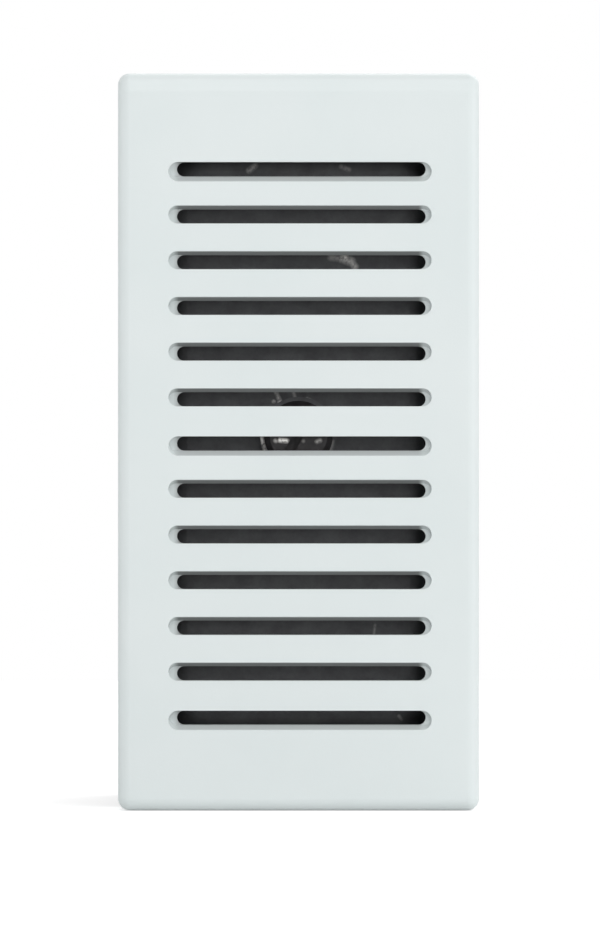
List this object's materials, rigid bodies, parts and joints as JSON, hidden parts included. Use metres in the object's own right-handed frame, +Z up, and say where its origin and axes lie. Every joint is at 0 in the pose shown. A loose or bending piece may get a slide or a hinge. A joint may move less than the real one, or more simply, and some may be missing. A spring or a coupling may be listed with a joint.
{
  "type": "doorbell sounder module",
  "caption": "One-module wall-frame doorbell: a white slotted cover over a pressed gong, struck by a reed-hung hammer that an electromagnet pulls.",
  "frame": {"origin": "centre of the wiring frame's cut-out, in the plane where the flange rests on it", "axes": "+Z up the face, +Y from the face towards the wall, +X to the right seen from the front"},
  "size_m": [0.022, 0.0337, 0.045],
  "materials": {
    "cover": "slightly cold white moulded plastic, fine satin",
    "housing": "anthracite moulded plastic, satin",
    "gong": "blackened pressed steel, scuffed",
    "dark_screw": "blackened steel, worn bright at the rim",
    "steel": "zinc-plated steel",
    "iron": "plated soft iron",
    "spring_steel": "rolled spring steel",
    "screws": "zinc-plated steel",
    "brass": "turned brass",
    "tinned": "tinned pins",
    "copper": "enamelled copper winding",
    "bobbin": "natural nylon",
    "tape": "amber polyester tape"
  },
  "bodies": {
    "root": {"front_cover": "cover", "housing": "housing", "back_cover": "housing", "case_screws": "screws", "gong": "gong", "gong_post": "steel", "gong_screw": "dark_screw", "gong_washer": "dark_screw", "magnet_frame": "steel", "frame_screws": "screws", "core": "iron", "coil_bobbin": "bobbin", "coil_winding": "copper", "coil_tape": "tape", "coil_pins": "tinned", "armature_reed": "spring_steel", "reed_clamp": "steel", "reed_screws": "screws", "terminal_bar_left": "brass", "terminal_bar_right": "brass"},
    "hammer": {"armature": "iron", "armature_rivets": "brass", "hammer_arm": "spring_steel", "hammer_striker": "brass"},
    "screw_left": {"terminal_screw_left": "screws"},
    "cage_left": {"terminal_cage_left": "steel"},
    "screw_right": {"terminal_screw_right": "screws"},
    "cage_right": {"terminal_cage_right": "steel"}
  },
  "joints": [
    {"name": "hammer_swing", "type": "hinge", "parent": "root", "child": "hammer", "pos_m": [0, 0.00175, 0.01106], "axis": [1, 0, 0], "range_deg": [-6, 0.5], "stiffness_Nm_per_rad": 0.025, "deforming": ["armature_reed"]},
    {"name": "screw_turn_left", "type": "hinge", "parent": "root", "child": "screw_left", "pos_m": [-0.0053, 0.0207, -0.0152], "axis": [0, -1, 0], "range_deg": [0, 2088]},
    {"name": "cage_rise_left", "type": "slide", "parent": "root", "child": "cage_left", "axis": [0, 1, 0], "range_m": [0, 0.0029]},
    {"name": "screw_turn_right", "type": "hinge", "parent": "root", "child": "screw_right", "pos_m": [0.0053, 0.0207, -0.0152], "axis": [0, -1, 0], "range_deg": [0, 2088]},
    {"name": "cage_rise_right", "type": "slide", "parent": "root", "child": "cage_right", "axis": [0, 1, 0], "range_m": [0, 0.0029]}
  ],
  "couplings": [
    {"joint": "screw_turn_left", "follows": "cage_rise_left", "rad_per_m": 12566},
    {"joint": "screw_turn_right", "follows": "cage_rise_right", "rad_per_m": 12566}
  ]
}
